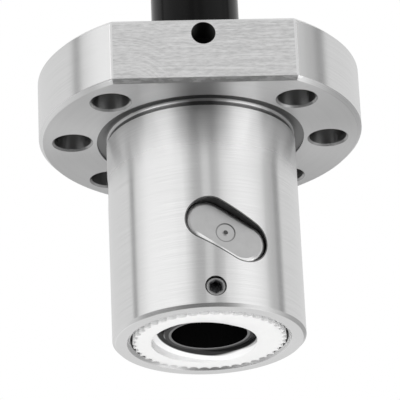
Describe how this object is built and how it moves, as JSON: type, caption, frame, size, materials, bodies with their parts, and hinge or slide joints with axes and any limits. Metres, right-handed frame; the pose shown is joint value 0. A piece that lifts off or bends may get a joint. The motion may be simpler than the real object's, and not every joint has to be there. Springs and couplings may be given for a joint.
{
  "type": "ball screw nut",
  "caption": "Flanged ball screw nut with internal ball return, wiper rings and a bolted flange with two flats, shipped on a hollow plastic sleeve that holds its balls in.",
  "frame": {"origin": "on the screw axis, at the nose face that the nut stands on", "axes": "+Z along the screw axis from the nose to the flange, -Y out of the front flat, +X to the right"},
  "size_m": [0.048, 0.04, 0.0611],
  "materials": {
    "ground_steel": "ground, satin",
    "insert_steel": "matt, as moulded",
    "ball_steel": "polished",
    "white_wiper": "smooth, matt",
    "black_screw": "black oxide",
    "black_sleeve": "smooth, glossy"
  },
  "bodies": {
    "nut": {"nut_body": "ground_steel", "return_insert_1": "insert_steel", "return_insert_2": "insert_steel", "return_insert_3": "insert_steel", "circuit_1_ball_01": "ball_steel", "circuit_1_ball_02": "ball_steel", "circuit_1_ball_03": "ball_steel", "circuit_1_ball_04": "ball_steel", "circuit_1_ball_05": "ball_steel", "circuit_1_ball_06": "ball_steel", "circuit_1_ball_07": "ball_steel", "circuit_1_ball_08": "ball_steel", "circuit_1_ball_09": "ball_steel", "circuit_1_ball_10": "ball_steel", "circuit_1_ball_11": "ball_steel", "circuit_1_ball_12": "ball_steel", "circuit_1_ball_13": "ball_steel", "circuit_1_ball_14": "ball_steel", "circuit_1_ball_15": "ball_steel", "circuit_1_ball_16": "ball_steel", "circuit_2_ball_01": "ball_steel", "circuit_2_ball_02": "ball_steel", "circuit_2_ball_03": "ball_steel", "circuit_2_ball_04": "ball_steel", "circuit_2_ball_05": "ball_steel", "circuit_2_ball_06": "ball_steel", "circuit_2_ball_07": "ball_steel", "circuit_2_ball_08": "ball_steel", "circuit_2_ball_09": "ball_steel", "circuit_2_ball_10": "ball_steel", "circuit_2_ball_11": "ball_steel", "circuit_2_ball_12": "ball_steel", "circuit_2_ball_13": "ball_steel", "circuit_2_ball_14": "ball_steel", "circuit_2_ball_15": "ball_steel", "circuit_2_ball_16": "ball_steel", "circuit_3_ball_01": "ball_steel", "circuit_3_ball_02": "ball_steel", "circuit_3_ball_03": "ball_steel", "circuit_3_ball_04": "ball_steel", "circuit_3_ball_05": "ball_steel", "circuit_3_ball_06": "ball_steel", "circuit_3_ball_07": "ball_steel", "circuit_3_ball_08": "ball_steel", "circuit_3_ball_09": "ball_steel", "circuit_3_ball_10": "ball_steel", "circuit_3_ball_11": "ball_steel", "circuit_3_ball_12": "ball_steel", "circuit_3_ball_13": "ball_steel", "circuit_3_ball_14": "ball_steel", "circuit_3_ball_15": "ball_steel", "circuit_3_ball_16": "ball_steel", "nose_wiper": "white_wiper", "flange_wiper": "white_wiper", "nose_grub_screw": "black_screw", "flange_grub_screw": "black_screw"},
    "sleeve": {"transport_sleeve": "black_sleeve"}
  },
  "joints": [
    {"name": "sleeve_slide", "type": "slide", "parent": "nut", "child": "sleeve", "axis": [0, 0, 1], "range_m": [0, 0.045]}
  ]
}
